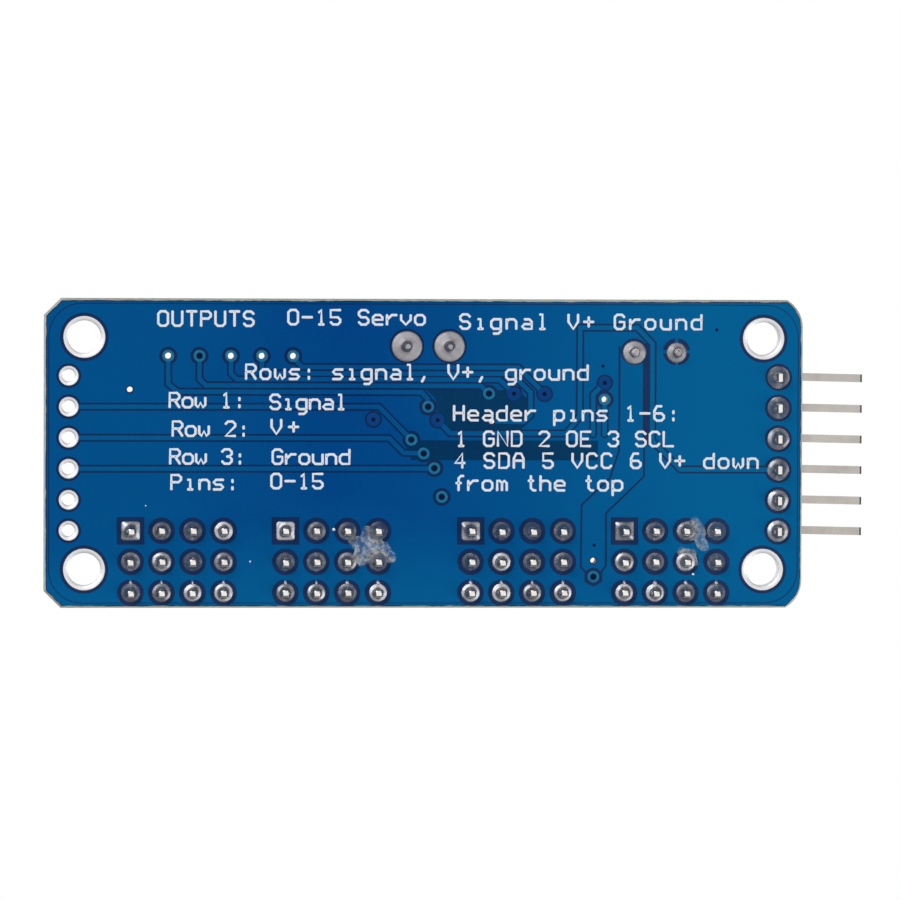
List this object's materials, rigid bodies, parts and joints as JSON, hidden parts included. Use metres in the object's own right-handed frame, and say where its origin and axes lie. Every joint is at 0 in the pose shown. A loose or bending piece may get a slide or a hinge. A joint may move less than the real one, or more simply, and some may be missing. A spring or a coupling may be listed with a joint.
{
  "type": "servo driver board",
  "caption": "Blue circuit board that drives servos: rows of upright header pins along one edge, a bent control header, a screw terminal block, a driver chip and a capacitor.",
  "frame": {"origin": "centre of the footprint, pins included, at the lowest solder tails", "axes": "+X along the long edge away from the bent control pins, +Y towards the edge with the supply terminals, +Z out of the component side"},
  "size_m": [0.0678, 0.0254, 0.0154],
  "materials": {
    "solder_mask": "glossy translucent blue solder mask over copper",
    "tinned_pins": "tin-plated, satin, with bright solder",
    "tinned_leads": "tin-plated lead frame, satin",
    "black_plastic": "moulded nylon",
    "red_plastic": "moulded nylon",
    "yellow_plastic": "moulded nylon",
    "green_plastic": "moulded nylon with a low gloss",
    "plated_steel": "zinc-plated steel",
    "can_aluminium": "bright drawn aluminium",
    "sleeve_plastic": "shrunk plastic sleeve",
    "bung_rubber": "moulded rubber",
    "winding_foil": "paper and foil roll",
    "chip_epoxy": "moulded epoxy with a fine grain",
    "resistor_black": "glazed ceramic with tinned ends",
    "ceramic_tan": "fired ceramic with tinned ends",
    "led_lens": "clear moulded resin"
  },
  "bodies": {
    "board": {"bypass_capacitor": "ceramic_tan", "capacitor_bung": "bung_rubber", "capacitor_can": "can_aluminium", "capacitor_lead_1": "tinned_pins", "capacitor_lead_2": "tinned_pins", "capacitor_sleeve": "sleeve_plastic", "capacitor_winding": "winding_foil", "chip_leads_back": "tinned_leads", "chip_leads_front": "tinned_leads", "circuit_board": "solder_mask", "control_header_strip": "black_plastic", "control_pin_1": "tinned_pins", "control_pin_2": "tinned_pins", "control_pin_3": "tinned_pins", "control_pin_4": "tinned_pins", "control_pin_5": "tinned_pins", "control_pin_6": "tinned_pins", "driver_chip": "chip_epoxy", "led_resistor": "resistor_black", "power_led": "led_lens", "protection_transistor": "chip_epoxy", "pullup_resistor_1": "resistor_black", "pullup_resistor_2": "resistor_black", "resistor_array_1": "resistor_black", "resistor_array_2": "resistor_black", "resistor_array_3": "resistor_black", "resistor_array_4": "resistor_black", "servo_pins_ground_1": "tinned_pins", "servo_pins_ground_2": "tinned_pins", "servo_pins_ground_3": "tinned_pins", "servo_pins_ground_4": "tinned_pins", "servo_pins_power_1": "tinned_pins", "servo_pins_power_2": "tinned_pins", "servo_pins_power_3": "tinned_pins", "servo_pins_power_4": "tinned_pins", "servo_pins_signal_1": "tinned_pins", "servo_pins_signal_2": "tinned_pins", "servo_pins_signal_3": "tinned_pins", "servo_pins_signal_4": "tinned_pins", "servo_strip_ground_1": "black_plastic", "servo_strip_ground_2": "black_plastic", "servo_strip_ground_3": "black_plastic", "servo_strip_ground_4": "black_plastic", "servo_strip_power_1": "red_plastic", "servo_strip_power_2": "red_plastic", "servo_strip_power_3": "red_plastic", "servo_strip_power_4": "red_plastic", "servo_strip_signal_1": "yellow_plastic", "servo_strip_signal_2": "yellow_plastic", "servo_strip_signal_3": "yellow_plastic", "servo_strip_signal_4": "yellow_plastic", "terminal_contact_1": "tinned_pins", "terminal_contact_2": "tinned_pins", "terminal_housing": "green_plastic"},
    "screw_1": {"terminal_screw_1": "plated_steel"},
    "screw_2": {"terminal_screw_2": "plated_steel"},
    "cage_1": {"wire_cage_1": "plated_steel"},
    "cage_2": {"wire_cage_2": "plated_steel"}
  },
  "joints": [
    {"name": "screw_turn_1", "type": "hinge", "parent": "board", "child": "screw_1", "pos_m": [0.00063, 0.0105, 0.00967], "axis": [0, 0, -1], "range_deg": [0, 900]},
    {"name": "cage_rise_1", "type": "slide", "parent": "board", "child": "cage_1", "axis": [0, 0, 1], "range_m": [0, 0.001]},
    {"name": "screw_turn_2", "type": "hinge", "parent": "board", "child": "screw_2", "pos_m": [0.00413, 0.0105, 0.00967], "axis": [0, 0, -1], "range_deg": [0, 900]},
    {"name": "cage_rise_2", "type": "slide", "parent": "board", "child": "cage_2", "axis": [0, 0, 1], "range_m": [0, 0.001]}
  ],
  "couplings": [
    {"joint": "screw_turn_1", "follows": "cage_rise_1", "rad_per_m": 15708},
    {"joint": "screw_turn_2", "follows": "cage_rise_2", "rad_per_m": 15708}
  ]
}
